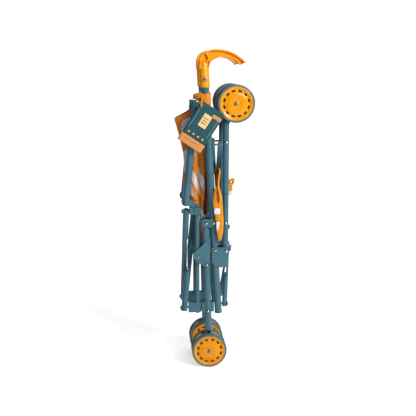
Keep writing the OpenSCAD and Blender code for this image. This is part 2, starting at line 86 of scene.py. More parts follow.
# ---------- nodes of a material ----------
class Shader:
    """A Principled material with short ways to add nodes to it."""

    def __init__(self, name, roughness=0.5, metallic=0.0, sheen=0.0, coat=0.0, specular=0.5):
        self.material = bpy.data.materials.new(name)
        self.material.use_nodes = True
        self.tree = self.material.node_tree
        self.bsdf = self.tree.nodes["Principled BSDF"]
        self.bsdf.inputs["Roughness"].default_value = roughness
        self.bsdf.inputs["Metallic"].default_value = metallic
        self.bsdf.inputs["Specular IOR Level"].default_value = specular
        self.bsdf.inputs["Sheen Weight"].default_value = sheen
        self.bsdf.inputs["Sheen Roughness"].default_value = 0.4
        self.bsdf.inputs["Coat Weight"].default_value = coat
        self.bsdf.inputs["Coat Roughness"].default_value = 0.12

    def link(self, value, socket):
        """Puts a number, a colour or another node's output on a socket."""
        if isinstance(value, bpy.types.NodeSocket):
            self.tree.links.new(value, socket)
        elif hasattr(value, "__len__") and len(value) == 3 and socket.type == "RGBA":
            socket.default_value = (*value, 1)
        else:
            socket.default_value = value

    def place(self, kind="Object"):
        return self.tree.nodes.new("ShaderNodeTexCoord").outputs[kind]

    def scaled(self, vector, scale):
        node = self.tree.nodes.new("ShaderNodeVectorMath")
        node.operation = "MULTIPLY"
        self.link(vector, node.inputs[0])
        node.inputs[1].default_value = scale
        return node.outputs[0]

    def split(self, vector):
        node = self.tree.nodes.new("ShaderNodeSeparateXYZ")
        self.link(vector, node.inputs[0])
        return node.outputs

    def noise(self, vector, scale, detail=3.0, distortion=0.0):
        node = self.tree.nodes.new("ShaderNodeTexNoise")
        self.link(vector, node.inputs["Vector"])
        node.inputs["Scale"].default_value = scale
        node.inputs["Detail"].default_value = detail
        node.inputs["Distortion"].default_value = distortion
        return node.outputs["Fac"]

    def wave(self, vector, scale, direction, distortion=0.0):
        node = self.tree.nodes.new("ShaderNodeTexWave")
        node.bands_direction = direction
        self.link(vector, node.inputs["Vector"])
        node.inputs["Scale"].default_value = scale
        node.inputs["Distortion"].default_value = distortion
        return node.outputs["Fac"]

    def math(self, operation, a, b=0.0):
        node = self.tree.nodes.new("ShaderNodeMath")
        node.operation = operation
        self.link(a, node.inputs[0])
        self.link(b, node.inputs[1])
        return node.outputs[0]

    def span(self, value, low, high, to_low=0.0, to_high=1.0):
        node = self.tree.nodes.new("ShaderNodeMapRange")
        self.link(value, node.inputs["Value"])
        node.inputs["From Min"].default_value = low
        node.inputs["From Max"].default_value = high
        node.inputs["To Min"].default_value = to_low
        node.inputs["To Max"].default_value = to_high
        return node.outputs["Result"]

    def mix(self, factor, a, b):
        node = self.tree.nodes.new("ShaderNodeMix")
        node.data_type = "RGBA"
        self.link(factor, node.inputs["Factor"])
        colour_a, colour_b = (socket for socket in node.inputs if socket.type == "RGBA")
        self.link(a, colour_a)
        self.link(b, colour_b)
        return node.outputs[2]

    def colour(self, value):
        self.link(value, self.bsdf.inputs["Base Color"])

    def rough(self, value):
        self.link(value, self.bsdf.inputs["Roughness"])

    def bump(self, height, strength, distance, below=None):
        node = self.tree.nodes.new("ShaderNodeBump")
        node.inputs["Strength"].default_value = strength
        node.inputs["Distance"].default_value = distance
        self.link(height, node.inputs["Height"])
        if below is not None:
            self.link(below, node.inputs["Normal"])
        self.link(node.outputs[0], self.bsdf.inputs["Normal"])
        return node.outputs[0]


def shade(colour, factor):
    return tuple(c * factor for c in colour)


TEAL = (0.050, 0.150, 0.198)
ORANGE = (0.84, 0.315, 0.001)
CLOTH = (0.72, 0.235, 0.022)
WHITE = (0.72, 0.71, 0.74)


def make_paint(name, colour, roughness=0.36):
    """Powder-coated steel: a fine orange-peel skin, slight mottling and small rubbed places."""
    m = Shader(name, roughness=roughness, coat=0.12, specular=0.4)
    where = m.place()
    mottle = m.noise(where, 38, 4)
    rub = m.span(m.noise(m.scaled(where, (1, 1, 0.25)), 260, 5), 0.66, 0.76)
    base = m.mix(m.span(mottle, 0.3, 0.7), shade(colour, 0.86), shade(colour, 1.12))
    m.colour(m.mix(m.math("MULTIPLY", rub, 0.35), base, shade(colour, 1.7)))
    m.rough(m.span(m.noise(where, 120, 3), 0.3, 0.7, roughness - 0.07, roughness + 0.09))
    m.bump(m.noise(where, 1500, 2), 0.18, 0.0004)
    return m.material


def make_plastic(name, colour, roughness=0.24, grain=900):
    """Moulded glossy plastic: flow marks in the colour, faint sink waves and a fine grain."""
    m = Shader(name, roughness=roughness, coat=0.12, specular=0.35)
    where = m.place()
    flow = m.noise(m.scaled(where, (1, 1, 0.4)), 60, 3, 0.6)
    m.colour(m.mix(m.span(flow, 0.3, 0.7), shade(colour, 0.90), shade(colour, 1.06)))
    m.rough(m.span(m.noise(where, 150, 3), 0.3, 0.7, roughness - 0.05, roughness + 0.08))
    first = m.bump(m.noise(where, 40, 2), 0.05, 0.001)
    m.bump(m.noise(where, grain, 2), 0.03, 0.0002, first)
    return m.material


def make_steel(name):
    """Bright plated rivet steel with turned rings and small scratches."""
    m = Shader(name, roughness=0.2, metallic=1.0)
    where = m.place()
    tarnish = m.span(m.noise(where, 700, 4), 0.35, 0.7)
    m.colour(m.mix(tarnish, (0.50, 0.50, 0.52), (0.20, 0.20, 0.21)))
    m.rough(m.span(m.noise(m.scaled(where, (1, 1, 4)), 900, 3), 0.3, 0.7, 0.10, 0.26))
    m.bump(m.noise(where, 2500, 2), 0.2, 0.0002)
    return m.material


def weave(m, cut, pitch, strength=0.5):
    """Plain-weave bump on cut, a map in millimetres, with that thread pitch."""
    band = 0.31416 / pitch
    warp = m.wave(cut, band, "X", 0.4)
    weft = m.wave(cut, band, "Y", 0.4)
    return m.bump(m.math("MAXIMUM", warp, weft), strength, 0.0003)


def make_print(name, leaf_pitch, leaf_centre, lean=0.0, fullness=0.45, painted_shade_edge=False):
    """Printed cotton: rows of white leaf shapes on orange, with a plain weave.

    The leaves' pitch and the middle of one leaf are in millimetres across and up the cloth.
    The edge flag paints near-black shade on the first few millimetres of the cloth, where it turns in.
    """
    m = Shader(name, roughness=0.85, sheen=0.12, specular=0.2)
    cut = m.place("UV")
    axes = m.split(cut)
    turn_u, turn_v = (2 * math.pi / size for size in leaf_pitch)
    aside = m.math("SUBTRACT", axes[0], leaf_centre[0])
    up = m.math("SUBTRACT", axes[1], leaf_centre[1])
    slanted = m.math("SUBTRACT", aside, m.math("MULTIPLY", up, lean))
    across = m.math("COSINE", m.math("MULTIPLY", slanted, turn_u))
    along = m.math("COSINE", m.math("MULTIPLY", up, turn_v))
    leaf = m.span(m.math("ADD", across, along), fullness - 0.05, fullness + 0.05)
    worn = m.noise(cut, 0.09, 4)
    thread = m.noise(m.scaled(cut, (1, 0.12, 1)), 2.2, 3)
    ground = m.mix(m.span(worn, 0.3, 0.7), shade(CLOTH, 0.78), shade(CLOTH, 1.1))
    pale = m.mix(m.span(worn, 0.3, 0.7), shade(WHITE, 0.84), WHITE)
    printed = m.mix(leaf, ground, pale)
    printed = m.mix(m.math("MULTIPLY", m.span(thread, 0.45, 0.7), 0.18), printed, (0.25, 0.10, 0.04))
    # Painted shade: the first few millimetres across the cloth go near black.
    if painted_shade_edge:
        printed = m.mix(m.span(axes[0], 5.5, 8.0, 1.0, 0.0), printed, (0.035, 0.010, 0.006))
    m.colour(printed)
    weave(m, cut, 0.7)
    return m.material


def make_webbing(name, colour):
    """Woven tape: herringbone ribs along it, a sheen, and painted shade in the gaps between the ribs."""
    m = Shader(name, roughness=0.7, sheen=0.3, specular=0.3)
    cut = m.place("UV")
    axes = m.split(cut)
    fold = m.math("ABSOLUTE", m.math("SUBTRACT", m.math("FRACT", m.math("MULTIPLY", axes[0], 0.25)), 0.5))
    slope = m.math("ADD", m.math("MULTIPLY", fold, 7.0), m.math("MULTIPLY", axes[1], 1.25))
    rib = m.math("SINE", m.math("MULTIPLY", slope, 2 * math.pi))
    tone = m.noise(cut, 0.25, 3)
    base = m.mix(m.span(tone, 0.3, 0.7), shade(colour, 0.84), shade(colour, 1.08))
    # Painted shade: the low parts of the ribs are darkened.
    m.colour(m.mix(m.span(rib, -1, -0.4, 0.35, 0.0), base, shade(colour, 0.45)))
    m.bump(rib, 0.5, 0.0003)
    return m.material


def make_paper(name, colour, fibre=0.5):
    """Uncoated card: paper fibres in colour and a little tooth."""
    m = Shader(name, roughness=0.72, specular=0.3)
    where = m.place()
    fibres = m.noise(m.scaled(where, (1, 1, 0.35)), 700, 5, 1.5)
    m.colour(m.mix(m.span(fibres, 0.35, 0.7), shade(colour, 1.05), shade(colour, 1 - 0.3 * fibre)))
    m.bump(fibres, 0.25, 0.0002)
    return m.material


PAINT = make_paint("frame_paint", TEAL)
TYRE = make_plastic("tyre_plastic", (0.075, 0.190, 0.240), 0.38, 700)
# A near-black plastic: painted shade for the dark inside of the wheel seen through the slots.
WHEEL_SHADE = make_plastic("wheel_painted_shade", (0.006, 0.012, 0.018), 0.6, 500)
DISC = make_plastic("disc_plastic", ORANGE, 0.2)
HANDLE = make_plastic("handle_plastic", shade(ORANGE, 1.15), 0.3)
STEEL = make_steel("rivet_plating")
SEAT_PRINT = make_print("seat_print", (34, 66), (9, 484), fullness=0.5)
# The back print has painted shade on its turned-in edge.
BACK_PRINT = make_print("back_print", (16.5, 78), (13, 377), lean=0.45, fullness=0.3, painted_shade_edge=True)
WEBBING = make_webbing("strap_weave", (0.95, 0.36, 0.008))
LOOP_WEAVE = make_webbing("loop_weave", (0.92, 0.31, 0.012))
BINDING = make_webbing("binding_weave", (0.80, 0.22, 0.012))
# A near-black brown tape: painted shade for cloth that lies in shadow.
PAINTED_SHADE_WEAVE = make_webbing("painted_shade_weave", (0.10, 0.022, 0.008))
BUCKLE = make_plastic("buckle_plastic", (0.80, 0.80, 0.82), 0.35)
CARD = make_paper("card_ink", (0.014, 0.085, 0.100), 0.4)
KRAFT = make_paper("card_kraft", (0.72, 0.31, 0.10), 0.8)
CREAM = make_paper("card_cream", (0.92, 0.62, 0.28), 0.3)
DARK_INK = make_paper("card_brown", (0.23, 0.035, 0.012), 0.3)
GOLD_INK = make_paper("card_gold", (0.93, 0.50, 0.05), 0.3)
PALE_INK = make_paper("card_line", (0.34, 0.50, 0.52), 0.3)


# ---------- finish on the CAD nodes ----------
def finish_node(node, material, edge, angle=35):
    """Gives a CAD node its material, smooth faces and softly rounded edges."""
    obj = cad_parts[node]
    obj.data.materials.clear()
    obj.data.materials.append(material)
    weld = obj.modifiers.new("weld", "WELD")
    weld.merge_threshold = 0.00002
    bevel = obj.modifiers.new("bevel", "BEVEL")
    bevel.width = edge * MM
    bevel.segments = 2
    bevel.limit_method = "ANGLE"
    bevel.angle_limit = math.radians(angle)
    bevel.use_clamp_overlap = True
    bevel.harden_normals = False
    obj.data.polygons.foreach_set("use_smooth", [True] * len(obj.data.polygons))
    obj.modifiers.new("normals", "WEIGHTED_NORMAL").keep_sharp = True


PAINTED = ("handle_tube", "front_leg", "guide_rod", "top_clip", "seat_plates", "hinge_plates",
           "foot_block", "slider", "seat_tube", "rear_leg", "lock_link", "end_caps")
SIDES = ("left", "right")


def finish_frame():
    for side in SIDES:
        for part in PAINTED:
            finish_node(f"{side}_{part}", PAINT, 0.35)
        finish_node(f"{side}_rivets", STEEL, 0.25)
        finish_node(f"{side}_rear_rivets", STEEL, 0.25)
        for end in ("front", "rear"):
            for place in ("outer", "inner"):
                finish_node(f"{side}_{end}_{place}_tyre", TYRE, 0.8)
    for bar in ("front_cross_bar_a", "front_cross_bar_b", "rear_cross_bar_a", "rear_cross_bar_b"):
        finish_node(bar, PAINT, 0.35)


finish_frame()


# ---------- making meshes ----------
def new_piece(name, points, faces, material, cut=None, smooth=True):
    """A new object from points and faces; cut holds one flat place per point, in millimetres."""
    mesh = bpy.data.meshes.new(name)
    mesh.from_pydata([tuple(p) for p in points], [], faces)
    mesh.materials.append(material)
    if cut is not None:
        layer = mesh.uv_layers.new(name="cut")
        for loop in mesh.loops:
            layer.data[loop.index].uv = cut[loop.vertex_index]
    mesh.polygons.foreach_set("use_smooth", [smooth] * len(mesh.polygons))
    mesh.update()
    obj = bpy.data.objects.new(name, mesh)
    bpy.context.scene.collection.objects.link(obj)
    return obj


def bake_modifiers(obj):
    """Turns the modifiers' result into the piece's own mesh."""
    graph = bpy.context.evaluated_depsgraph_get()
    mesh = bpy.data.meshes.new_from_object(obj.evaluated_get(graph))
    obj.modifiers.clear()
    obj.data = mesh
    return obj


def face_out(obj):
    """Turns every face of a closed piece outwards."""
    shape = bmesh.new()
    shape.from_mesh(obj.data)
    bmesh.ops.recalc_face_normals(shape, faces=shape.faces)
    shape.to_mesh(obj.data)
    shape.free()


def thicken(obj, thickness, offset=0.0):
    solid = obj.modifiers.new("solid", "SOLIDIFY")
    solid.thickness = thickness * MM
    solid.offset = offset
    return bake_modifiers(obj)


def spline(points, count):
    """count points evenly spaced on a Catmull-Rom curve through points."""
    ends = [2 * points[0] - points[1], *points, 2 * points[-1] - points[-2]]
    fine = []
    for a, b, c, d in zip(ends, ends[1:], ends[2:], ends[3:]):
        for step in range(16):
            t = step / 16
            fine.append(0.5 * (2 * b + (c - a) * t + (2 * a - 5 * b + 4 * c - d) * t ** 2
                               + (3 * b - a - 3 * c + d) * t ** 3))
    fine.append(points[-1].copy())
    reach = [0.0]
    for p, q in zip(fine, fine[1:]):
        reach.append(reach[-1] + (q - p).length)
    result, k = [], 0
    for i in range(count):
        goal = reach[-1] * i / (count - 1)
        while k < len(fine) - 2 and reach[k + 1] < goal:
            k += 1
        share = (goal - reach[k]) / max(reach[k + 1] - reach[k], 1e-9)
        result.append(fine[k].lerp(fine[k + 1], share))
    return result, reach[-1]


def between(table, x):
    """A straight-line reading of a table of (x, value...) rows."""
    for low, high in zip(table, table[1:]):
        if x <= high[0]:
            break
    share = min(max((x - low[0]) / (high[0] - low[0]), 0), 1)
    return [a + (b - a) * share for a, b in zip(low[1:], high[1:])]


def grid_faces(rows, columns, closed=False):
    wrap = columns if closed else columns - 1
    return [(r * columns + c, r * columns + (c + 1) % columns,
             (r + 1) * columns + (c + 1) % columns, (r + 1) * columns + c)
            for r in range(rows - 1) for c in range(wrap)]


def grid_piece(name, rows, cut_rows, material):
    points = [p for row in rows for p in row]
    cut = [c for row in cut_rows for c in row]
    return new_piece(name, points, grid_faces(len(rows), len(rows[0])), material, cut)


def ripple(point, scale, size):
    """A small steady wrinkle for cloth, the same on every run."""
    shift = noise.noise_vector(point * scale)
    return point + shift * (size * MM)


# ---------- wheels ----------
WEB = [(2.2, 3.6), (3.0, 4.0), (4.6, 4.2), (5.6, 4.1), (6.3, 3.6), (7.2, 3.75), (9, 4.2), (12, 4.45),
       (15, 4.35), (18, 3.95), (20.6, 3.3), (22.0, 2.75), (22.9, 2.6), (23.6, 2.58), (24.8, 2.56),
       (25.4, 2.6), (26.2, 2.75), (27.2, 3.35), (28.4, 3.95), (30.0, 4.3), (31.0, 4.3), (31.6, 3.9)]
SLOT_RINGS = range(11, 15)
BARREL = [(31.7, 3.9), (31.75, -4.9), (29.6, -4.9), (29.3, -4.4), (29.3, 2.6)]
# A flat ring behind the slots, which carries that painted shade.
SHADE_RING = [(29.3, 1.5), (6.1, 1.5)]
HUB = [(6.0, 3.2), (6.0, -4.4), (5.6, -4.9), (2.4, -4.9), (2.2, -4.6), (2.2, 3.4)]
STEPS = 20
SLOTS = 12


def lathe(profile, count):
    points = [Vector((r * math.cos(2 * math.pi * k / count), r * math.sin(2 * math.pi * k / count), z))
              for r, z in profile for k in range(count)]
    return points, grid_faces(len(profile), count, True)


def make_disc(node, centre, side):
    """The dished, slotted face of one wheel, with its rim and hub; side points away from the leg."""
    count = SLOTS * STEPS
    points, faces = lathe(WEB, count)
    kept = []
    for number, face in enumerate(faces):
        ring, step = divmod(number, count)
        if ring in SLOT_RINGS and 4 <= step % STEPS < 15:
            continue
        kept.append(face)
    parts = [(points, kept)]
    for profile in (BARREL, HUB, SHADE_RING):
        parts.append(lathe(profile, 96))
    turn = Matrix.Rotation(math.radians(-90 if side > 0 else 90), 4, "X")
    made = []
    for index, (ring_points, ring_faces) in enumerate(parts):
        placed = [turn @ (p * MM) + centre for p in ring_points]
        # the last ring, behind the slots, is painted shade
        material = WHEEL_SHADE if index == len(parts) - 1 else DISC
        obj = new_piece(f"{node}_part{index}", placed, ring_faces, material)
        if index == 0:
            thicken(obj, 1.5, 1.0)
        made.append(obj)
    return join(node + "_face", made)


def join(name, objects):
    """Joins objects' meshes into one object of that name."""
    points, faces, materials, slots, smooth, cut = [], [], [], [], [], []
    for obj in objects:
        base = len(points)
        points += [v.co.copy() for v in obj.data.vertices]
        layer = obj.data.uv_layers.active
        for polygon in obj.data.polygons:
            faces.append([base + v for v in polygon.vertices])
            material = obj.data.materials[polygon.material_index]
            if material not in materials:
                materials.append(material)
            slots.append(materials.index(material))
            smooth.append(polygon.use_smooth)
            for loop in polygon.loop_indices:
                cut.append(tuple(layer.data[loop].uv) if layer else (0.0, 0.0))
    mesh = bpy.data.meshes.new(name)
    mesh.from_pydata(points, [], faces)
    for material in materials:
        mesh.materials.append(material)
    mesh.polygons.foreach_set("material_index", slots)
    mesh.polygons.foreach_set("use_smooth", smooth)
    layer = mesh.uv_layers.new(name="cut")
    for index, place in enumerate(cut):
        layer.data[index].uv = place
    mesh.update()
    joined = bpy.data.objects.new(name, mesh)
    bpy.context.scene.collection.objects.link(joined)
    for obj in objects:
        bpy.data.objects.remove(obj)
    return joined


AXLES = {"front": (-3, 35), "rear": (47, 527)}
WHEEL_OFFSET = 11


def make_wheels():
    for side, sign in (("left", -1), ("right", 1)):
        for end, (x, z) in AXLES.items():
            for place in ("outer", "inner"):
                away = sign if place == "outer" else -sign
                node = f"{side}_{end}_{place}_disc"
                centre = at(x, sign * LEG_Y + away * WHEEL_OFFSET, z)
                disc = make_disc(node, centre, away)
                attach(disc, f"{side}_{end}_{place}_wheel")
                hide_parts(node)


make_wheels()


# ---------- fabric ----------
def seat_tube_x(z):
    return -47.2 + (z - 341) * 20 / 197


# Where the front crease of the seat cloth is, at each height
CREASE = [(341, -52), (350, -52), (372, -50.5), (395, -50), (414, -49.5), (430, -50.5), (445, -53.5),
          (460, -57), (476, -61.5), (490, -64.5), (499, -66)]
SEAT_CLOTH_WIDTH = 118.0
SEAT_TOP = 499.0
SEAT_FOOT = 341.5
EDGE_Y = 21.5


def seat_section(z):
    """One cross-section of the folded seat cloth, from the left tube to the right one."""
    tube = seat_tube_x(z) - 1.5
    crease = between(CREASE, z)[0]

    def pleats(depth):
        return [(tube, -EDGE_Y), (crease, -16), (crease + depth, -10.5), (crease + 2, -4.5),
                (crease + 2 + depth, 1.5), (crease + 3, 8), (crease + 3 + depth, 13), (tube, EDGE_Y)]

    def width(depth):
        row = [Vector(p) for p in pleats(depth)]
        return sum((q - p).length for p, q in zip(row, row[1:]))

    depth, most = 1.0, tube - crease + 1.0
    while depth < most and width(depth) < SEAT_CLOTH_WIDTH:
        depth += 0.5
    return [Vector((x, y, z)) for x, y in pleats(depth)]


def seat_lift(point, share):
    """The top edge rises towards the tubes, as the cloth hangs from them."""
    out = max(seat_tube_x(point.z) - point.x, 0)
    return Vector((0, 0, 17.0 * share ** 3 * (1 - min(out / 32.0, 1.0))))


def cloth_rows(heights, section, columns, lift, cut_width, wrinkle):
    rows, cut_rows = [], []
    for z in heights:
        share = (z - heights[0]) / (heights[-1] - heights[0])
        line, _ = spline(section(z), columns)
        row, cut = [], []
        for c, point in enumerate(line):
            moved = point + lift(point, share)
            edge = min(c, columns - 1 - c) / columns
            moved = ripple(moved, 0.035, wrinkle * 1000 * min(edge * 8, 1))
            row.append(at(*moved))
            cut.append((cut_width * c / (columns - 1), moved.z))
        rows.append(row)
        cut_rows.append(cut)
    return rows, cut_rows


def steps(low, high, count):
    return [low + (high - low) * k / (count - 1) for k in range(count)]


def make_seat_cloth():
    heights = steps(SEAT_FOOT, SEAT_TOP, 90)
    rows, cut = cloth_rows(heights, seat_section, 110, seat_lift, SEAT_CLOTH_WIDTH, 0.9)
    cloth = thicken(grid_piece("seat_cloth", rows, cut, SEAT_PRINT), 0.8)
    binding = thicken(grid_piece("seat_binding", rows[-6:], cut[-6:], BINDING), 2.0)
    for piece in (cloth, binding):
        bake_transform(piece)
    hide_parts("seat_fabric")


# Rows of (z, x of the right bulge, x of the valley, x of the left bulge, x of the left crease)
BACK_FOLDS = [(340, -13.5, -20, -30, -34), (352, -13, -21, -32.5, -37.5), (400, -12.5, -21.5, -31, -35),
              (437, -12.5, -21, -28, -32), (480, -12, -20, -25, -28), (527, -12, -17, -22, -25)]
# The same for the gathered tail below it, which is on the left of the middle plane only
TAIL_FOLDS = [(259, -16, -18, -20, -21.5), (285, -15.5, -18.5, -21.5, -23.5), (311, -13, -18.5, -23, -26),
              (340, -12.5, -20, -29.5, -33)]
BACK_CLOTH_WIDTH = 124.0
TAIL_WIDTH = 62.0


def back_section(z):
    right, valley, left, crease = between(BACK_FOLDS, z)
    section = [(right + 2.5, -9), (right + 3, -16), (right, -19.8), ((right + valley) / 2, -19),
               (valley, -13.5), ((valley + left) / 2, -18.5), (left, -20), (crease, -16.5),
               (crease + 1, -8), (valley, -3), (right + 1, 1), (valley, 6), (crease, 9), (left, 17),
               (valley, 19), (right, 20)]
    return [Vector((x, y, z)) for x, y in section]


def tail_section(z):
    right, valley, left, crease = between(TAIL_FOLDS, z)
    section = [(right, -5), (right, -18), ((right + valley) / 2, -19), (valley, -14.5), (left, -19),
               (crease, -16), (crease + 1, -8), (valley, -3.5), (right - 1, -3)]
    return [Vector((x, y, z)) for x, y in section]


def no_lift(point, share):
    return Vector((0, 0, 0))


def make_back_shade_sheet():
    """Painted shade: a near-black sheet for the cloth's turned-in edge behind the left handle tube."""
    rows, cut = [], []
    for z in steps(311, 440, 40):
        front = between(BACK_FOLDS, z)[0] - 0.5
        section = [Vector(p) for p in ((front, -17, z), (front + 4, -12.5, z), (-5, -12, z), (-2.5, -7, z))]
        line, length = spline(section, 14)
        rows.append([at(*ripple(p, 0.05, 0.6)) for p in line])
        cut.append([(length * k / 13, z) for k in range(14)])
    return thicken(grid_piece("back_painted_shade", rows, cut, PAINTED_SHADE_WEAVE), 0.8)


def make_back_cloth():
    rows, cut = cloth_rows(steps(340.5, 527, 100), back_section, 150, no_lift, BACK_CLOTH_WIDTH, 0.8)
    upper = thicken(grid_piece("back_upper", rows, cut, BACK_PRINT), 0.8)
    rows, cut = cloth_rows(steps(259, 342, 50), tail_section, 80, no_lift, TAIL_WIDTH, 0.5)
    tail = thicken(grid_piece("back_tail", rows, cut, BACK_PRINT), 0.8)
    cloth = join("back_cloth", [upper, tail, make_back_shade_sheet()])
    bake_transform(cloth)
    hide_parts("back_fabric")


make_seat_cloth()
make_back_cloth()


# ---------- tapes ----------
def ribbon(name, path, width_way, widths, thickness, material, samples=40, across=7, crown=0.0):
    """A tape along path; width_way gives its width's direction at each point, widths its width."""
    line, length = spline(path, samples)
    ways, _ = spline(width_way, samples)
    rows, cut = [], []
    for k, point in enumerate(line):
        share = k / (samples - 1)
        ahead = (line[min(k + 1, samples - 1)] - line[max(k - 1, 0)]).normalized()
        way = ways[k] - ahead * ways[k].dot(ahead)
        way.normalize()
        up = ahead.cross(way)
        width = between([(i / (len(widths) - 1), w) for i, w in enumerate(widths)], share)[0]
        row, flat = [], []
        for j in range(across):
            side = j / (across - 1) - 0.5
            bulge = crown * (1 - 4 * side * side)
            row.append(at(*(point + way * (side * width) + up * bulge)))
            flat.append((side * width + 10, length * share))
        rows.append(row)
        cut.append(flat)
    return thicken(grid_piece(name, rows, cut, material), thickness)


def v(*xyz):
    return Vector(xyz)


def tube_x(z):
    return 16.2 + (z - 114) * (-11.8 - 16.2) / (590 - 114)


# ---------- handles ----------
SHANK_R = 8.75
HOOK_HALF = 7.0
HOOK_WALL = 2.6
RIVET_Z = 571


# The two ribs across the channel at the corner of the hook, as corners in the side view
HANDLE_RIBS = [[(-10.8, 620.2), (-8.6, 621.4), (-1.6, 608.9), (-3.8, 607.6)],
               [(-4.2, 609.2), (-2.2, 607.6), (-7.0, 601.2), (-8.8, 602.8)]]


def arc_points(middle, radius, first, last, count):
    angles = [math.radians(first + (last - first) * k / (count - 1)) for k in range(count)]
    return [(middle[0] + radius * math.cos(a), middle[1] + radius * math.sin(a)) for a in angles]


def hook_outline(inset):
    """The side outline of the hook, drawn in by inset: corner, back, tip, throat and root."""
    return [(0.5 - 21.5 + inset, 590 + inset),
            *arc_points((0.5, 602), 21.5 - inset, 178, 108, 14),
            *arc_points((12, 554), 71 - inset, 98, 43, 22),
            *arc_points((24.5, 573), 38.5 + inset, 39 + inset, 130, 26),
            (tube_x(600) + SHANK_R - inset, 590 + inset)]


def soft(obj, width, turn=32):
    """Rounds the edges of a moulded piece a little and keeps only its real corners crisp."""
    bevel = obj.modifiers.new("bevel", "BEVEL")
    bevel.width = width * MM
    bevel.segments = 3
    bevel.angle_limit = math.radians(turn)
    bake_modifiers(obj)
    face_out(obj)
    obj.data.polygons.foreach_set("use_smooth", [True] * len(obj.data.polygons))
    obj.data.set_sharp_from_angle(angle=math.radians(50))
    return obj


def make_hook_rim(name, y):
    """The flange that runs all round the hook, across its whole width."""
    outer, inner = hook_outline(0), hook_outline(HOOK_WALL)
    count = len(outer)
    points = []
    for ring, side in ((outer, -HOOK_HALF), (outer, HOOK_HALF), (inner, HOOK_HALF), (inner, -HOOK_HALF)):
        points += [at(x, y + side, z) for x, z in ring]
    faces = []
    for k in range(count):
        ahead = (k + 1) % count
        for ring in range(4):
            other = (ring + 1) % 4
            faces.append((ring * count + k, ring * count + ahead, other * count + ahead, other * count + k))
    return soft(new_piece(name, points, faces, HANDLE), 0.6)


def make_hook_web(name, y):
    outline = hook_outline(0.8)
    obj = new_piece(name, [at(x, y, z) for x, z in outline], [tuple(range(len(outline)))], HANDLE,
                    smooth=False)
    return thicken(obj, 4.0)


def make_round(name, profile, place, material):
    """A turned piece: profile holds (radius, distance along); place puts (a, b, distance) in the frame."""
    count = 64
    points = [place(r * math.cos(2 * math.pi * k / count), r * math.sin(2 * math.pi * k / count), d)
              for r, d in profile for k in range(count)]
    obj = new_piece(name, points, grid_faces(len(profile), count, True), material)
    obj.data.set_sharp_from_angle(angle=math.radians(50))
    return obj


def make_handles():
    """The hooked handles: a round shank with a rivet boss, and a flanged hook with two corner ribs."""
    for side, sign in (("left", -1), ("right", 1)):
        y = sign * LEG_Y
        shank = [(7.1, 556.4), (SHANK_R - 0.5, 556.4), (SHANK_R, 557.2), (SHANK_R, 560),
                 (SHANK_R - 0.15, 561), (SHANK_R - 0.15, 597), (SHANK_R - 1.2, 601), (6.2, 603.2),
                 (3, 604.4), (0.05, 604.8)]
        pieces = [make_round(f"{side}_shank", shank, lambda a, b, d: at(tube_x(d) + a, y + b, d), HANDLE)]
        for face in (-1, 1):
            boss = [(5.6, 7.4), (5.6, 8.9), (5.2, 9.35), (2.2, 9.35)]
            pieces.append(make_round(
                f"{side}_boss{face}", boss,
                lambda a, b, d: at(tube_x(RIVET_Z) + a, y + face * d, RIVET_Z + b), HANDLE))
        pieces += [make_hook_rim(f"{side}_rim", y), make_hook_web(f"{side}_web", y)]
        for number, rib in enumerate(HANDLE_RIBS):
            obj = new_piece(f"{side}_rib{number}", [at(x, y, z) for x, z in rib], [(0, 1, 2, 3)], HANDLE)
            pieces.append(soft(thicken(obj, 2 * HOOK_HALF - 0.6), 0.4))
        handle = join(f"{side}_moulded_handle", pieces)
        handle.data.set_sharp_from_angle(angle=math.radians(50))
        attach(handle, f"{side}_frame")
        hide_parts(f"{side}_handle")


def make_loops():
    """The tape loop round each handle tube, with the tail that the cloth hangs from."""
    for side, sign in (("left", -1), ("right", 1)):
        count = 60
        ring_rows, ring_cut = [], []
        for k in range(13):
            z = 522.5 + 23 * k / 12
            row, cut = [], []
            for c in range(count + 1):
                angle = 2 * math.pi * c / count
                swell = 8.4 + 0.7 * math.sin(3 * angle + k * 0.25) ** 2 + 0.35 * math.sin(k * 1.3)
                lean = 1.8 * math.cos(angle)
                row.append(at(tube_x(z) + swell * math.cos(angle),
                              sign * LEG_Y + swell * math.sin(angle), z + lean))
                cut.append((swell * angle, z))
            ring_rows.append(row)
            ring_cut.append(cut)
        band = thicken(grid_piece(f"{side}_loop_band", ring_rows, ring_cut, LOOP_WEAVE), 1.1)
        y = sign * LEG_Y
        path = [v(-12, y - 8, 541), v(-19, y - 7, 540), v(-25.5, y - 4, 538), v(-27, y + 1, 536),
                v(-22, y + 4, 535.5), v(-15, y + 4, 536)]
        way = [v(0, 0, 1), v(0.1, -0.2, 1), v(0.2, -0.3, 1), v(0, 0, 1), v(0, 0, 1), v(0, 0, 1)]
        tail = ribbon(f"{side}_loop_tail", path, way, [9, 8, 7, 6.5, 7], 1.1, LOOP_WEAVE)
        loop = join(f"{side}_loop", [band, tail])
        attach(loop, f"{side}_frame")
        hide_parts(f"{side}_fabric_loop")


# The outline of the gathered band: (height, front edge, rear edge), in millimetres
BAND = [(264.5, 15.2, 17.4), (270, 13.8, 20.4), (284, 11.2, 23.4), (302, 9.9, 24.0), (318, 7.8, 23.0),
        (330, 5.4, 22.4), (341, 4.2, 21.3)]
BAND_Y = -43.2


def make_band():
    """The two straps' lower ends, gathered into one creased band outside the tubes."""
    rows, cut = [], []
    for z in steps(BAND[0][0], BAND[-1][0], 40):
        front, rear = between(BAND, z)
        row, flat = [], []
        for k in range(31):
            share = k / 30
            crease = 0.75 * math.cos(share * 6 * math.pi + z * 0.05) + 0.3 * math.cos(share * 17)
            bulge = 1.7 * math.sin(math.pi * share) ** 0.6
            out = BAND_Y - bulge + crease * math.sin(math.pi * share)
            row.append(at(front + (rear - front) * share, out, z))
            flat.append((20 * share, z))
        rows.append(row)
        cut.append(flat)
    return thicken(grid_piece("strap_band", rows, cut, WEBBING), 1.6)


